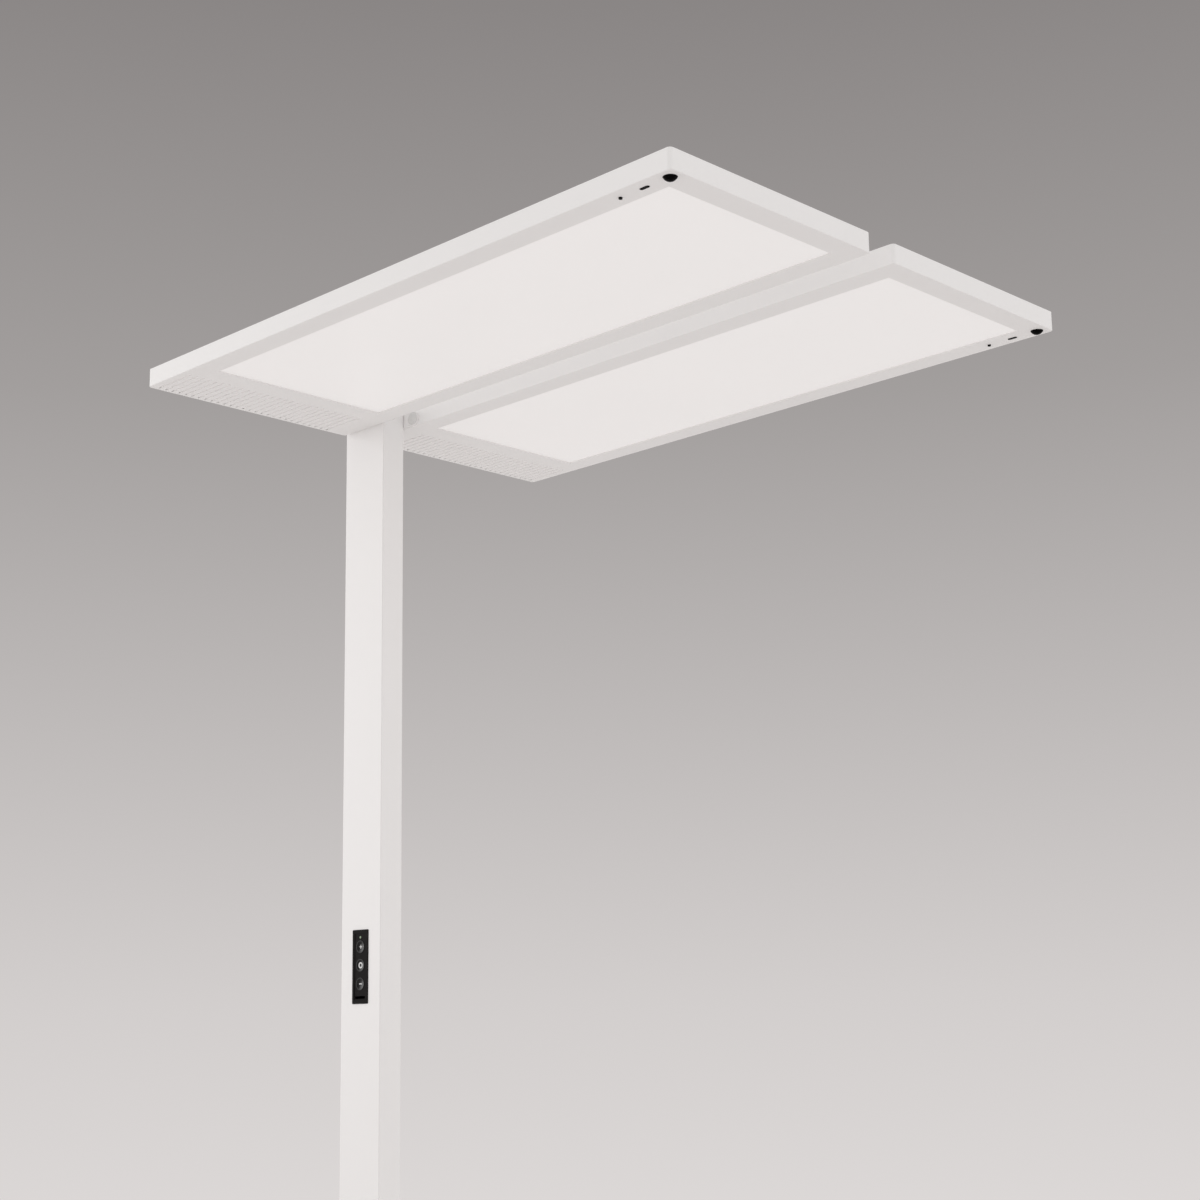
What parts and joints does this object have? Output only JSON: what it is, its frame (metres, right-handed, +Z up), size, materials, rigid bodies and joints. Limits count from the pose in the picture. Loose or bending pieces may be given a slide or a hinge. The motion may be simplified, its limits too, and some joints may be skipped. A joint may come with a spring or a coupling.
{
  "type": "floor lamp",
  "caption": "Office floor lamp: two flat rectangular light panels side by side on a slim column, with a flat base and a keypad of press keys.",
  "frame": {"origin": "on the floor, in the middle of the lamp's outline: the base glides stand on z = 0, and the outline runs from the base's rear edge to the heads' free end", "axes": "+Z up; +X from the column towards the free end of the heads; the keypad faces -Y, head A is at -Y and head B at +Y"},
  "size_m": [0.93, 0.6666, 1.95],
  "materials": {
    "base_steel": "white fine-texture powder coat on steel",
    "glide_rubber": "matt black rubber",
    "column_paint": "white fine-texture powder coat on extruded aluminium",
    "bare_steel": "zinc plated",
    "painted_screw": "white painted screw heads",
    "satin_bolt": "satin zinc-nickel",
    "arm_paint": "white powder coat on steel",
    "raw_aluminium": "bare satin aluminium",
    "head_paint": "white fine-texture powder coat on sheet aluminium",
    "opal_panel": "opal acrylic, satin",
    "clear_acrylic": "clear acrylic",
    "white_film": "white film",
    "light_board": "white solder mask",
    "circuit_board": "green solder mask",
    "driver_case": "moulded light grey",
    "cable_jacket": "light grey cable jacket",
    "black_gland": "black moulded",
    "black_lens": "black infrared-clear plastic, gloss",
    "keypad_black": "black moulded, fine texture",
    "key_black": "black moulded, satin",
    "switch_body": "black switch housings",
    "pilot_green": "green translucent"
  },
  "bodies": {
    "lamp": {"arm_a": "arm_paint", "arm_b": "arm_paint", "arm_bolts": "satin_bolt", "arm_screws": "bare_steel", "back_plate_a": "raw_aluminium", "back_plate_b": "raw_aluminium", "back_screws": "bare_steel", "base_glides": "glide_rubber", "base_plate": "base_steel", "cable_gland": "black_gland", "cap_screws": "painted_screw", "column": "column_paint", "column_cable": "cable_jacket", "column_cap": "column_paint", "cover_screws": "painted_screw", "diffuser_a": "opal_panel", "diffuser_b": "opal_panel", "driver_a": "driver_case", "driver_b": "driver_case", "foot_gasket": "glide_rubber", "foot_screws": "bare_steel", "foot_spigot": "bare_steel", "gland_nut": "black_gland", "head_blocks": "raw_aluminium", "head_cables": "cable_jacket", "head_cover_a": "head_paint", "head_cover_b": "head_paint", "head_tray_a": "head_paint", "head_tray_b": "head_paint", "keypad_bezel": "keypad_black", "keypad_board": "circuit_board", "keypad_face": "keypad_black", "keypad_screws": "bare_steel", "keypad_switches": "switch_body", "led_strips": "light_board", "light_guide_a": "clear_acrylic", "light_guide_b": "clear_acrylic", "pilot_light": "pilot_green", "receiver_window": "black_lens", "reflector_a": "white_film", "reflector_b": "white_film", "sensor_boards": "circuit_board", "sensor_dome_a": "black_lens", "sensor_dome_b": "black_lens", "sensor_windows": "black_lens", "terminal_block": "driver_case", "top_block": "raw_aluminium", "uplight_boards": "light_board", "uplight_lens_a": "opal_panel", "uplight_lens_b": "opal_panel", "vent_liners": "white_film", "wire_bushes": "black_gland", "wire_junction": "driver_case"},
    "button_plus": {"key_plus": "key_black", "plunger_plus": "key_black"},
    "button_power": {"key_power": "key_black", "plunger_power": "key_black"},
    "button_minus": {"key_minus": "key_black", "plunger_minus": "key_black"}
  },
  "joints": [
    {"name": "press_plus", "type": "slide", "parent": "lamp", "child": "button_plus", "axis": [0, 1, 0], "range_m": [0, 0.0008], "stiffness_N_per_m": 600, "springref_m": -0.0025},
    {"name": "press_power", "type": "slide", "parent": "lamp", "child": "button_power", "axis": [0, 1, 0], "range_m": [0, 0.0008], "stiffness_N_per_m": 600, "springref_m": -0.0025},
    {"name": "press_minus", "type": "slide", "parent": "lamp", "child": "button_minus", "axis": [0, 1, 0], "range_m": [0, 0.0008], "stiffness_N_per_m": 600, "springref_m": -0.0025}
  ]
}
